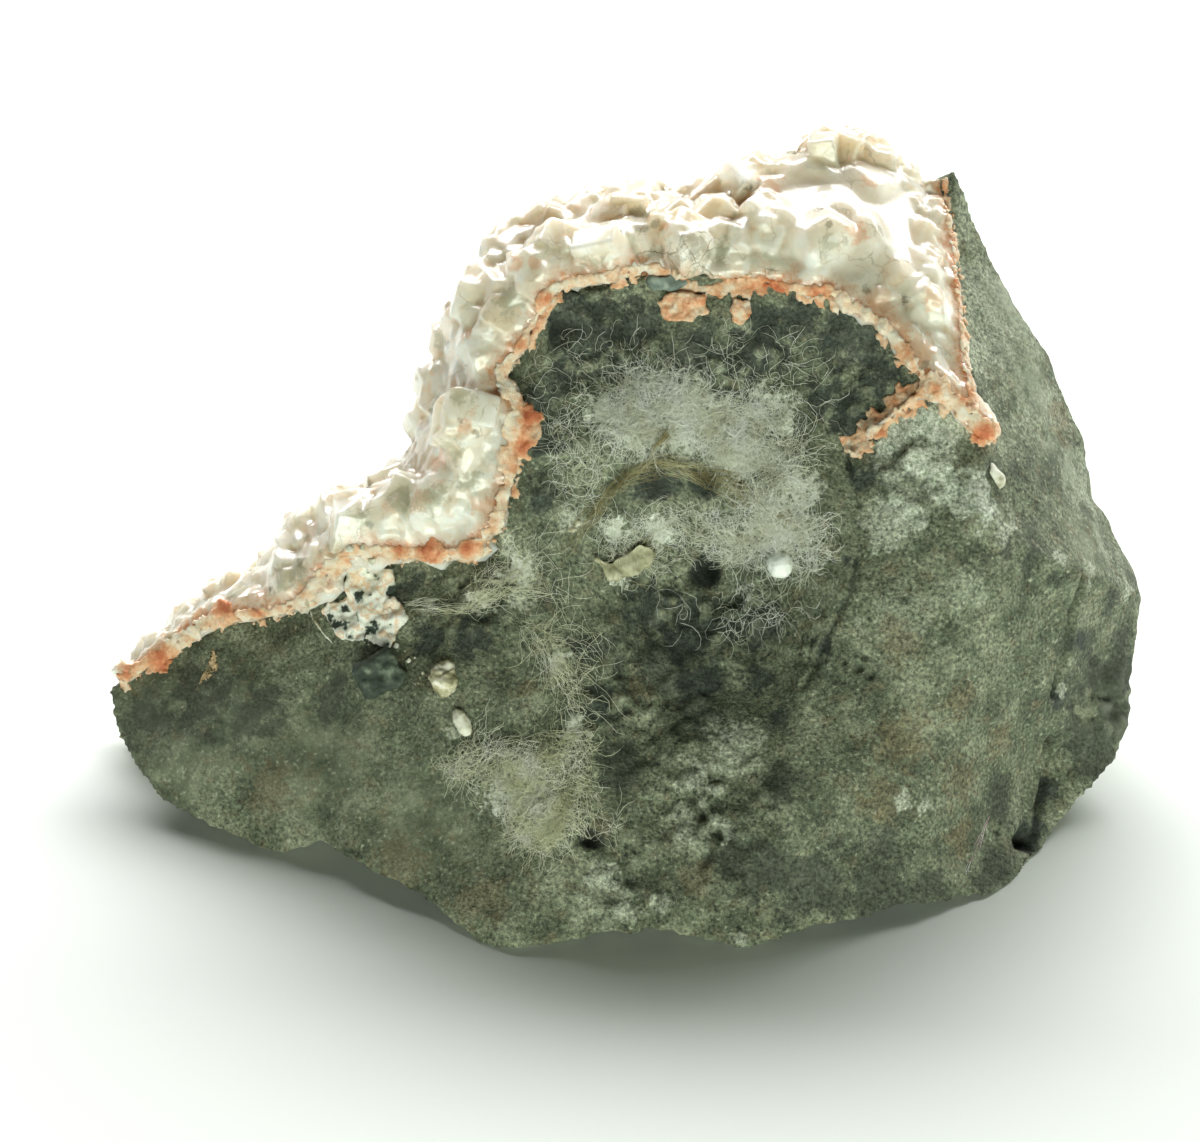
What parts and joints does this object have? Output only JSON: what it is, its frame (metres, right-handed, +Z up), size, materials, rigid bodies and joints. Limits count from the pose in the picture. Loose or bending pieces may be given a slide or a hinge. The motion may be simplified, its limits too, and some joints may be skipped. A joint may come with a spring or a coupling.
{
  "type": "apophyllite mineral specimen on basalt",
  "caption": "Hand specimen of pale apophyllite crystals on a broken block of dark basalt, with an orange zeolite seam and lint on its face, resting on a flat base.",
  "frame": {"origin": "centre of the bounding box on the resting plane, under the middle of the specimen", "axes": "+X runs from the thin tail to the thick right end along the broken front, +Y from the front to the crystal-covered back, +Z up"},
  "size_m": [0.1246, 0.0848, 0.0699],
  "materials": {
    "basalt": "rough broken fine-grained grey-green basalt",
    "apophyllite": "milky, translucent, glassy to pearly crystal faces",
    "stilbite": "matt salmon-orange fibrous mineral",
    "white_zeolite": "chalky white to cream mineral",
    "green_zeolite": "dull grey-green crystal",
    "bead": "matt white rounded grain",
    "flake": "thin dry khaki flake",
    "lint": "felted pale grey-green dust fibres"
  },
  "bodies": {
    "root": {"basalt_matrix": "basalt", "apophyllite_crust": "apophyllite", "stilbite_seam": "stilbite", "salmon_patch_left": "stilbite", "salmon_patch_right": "stilbite", "zeolite_pocket": "white_zeolite", "peach_sliver": "stilbite", "cream_sliver": "white_zeolite", "green_crystal": "green_zeolite", "grey_nodule": "green_zeolite", "amygdule_upper": "white_zeolite", "amygdule_lower": "white_zeolite", "white_bead": "bead", "khaki_flake": "flake", "lint_mat_centre": "lint", "lint_mat_lower": "lint", "lint_strand_left": "lint", "lint_tuft": "lint"}
  },
  "joints": []
}
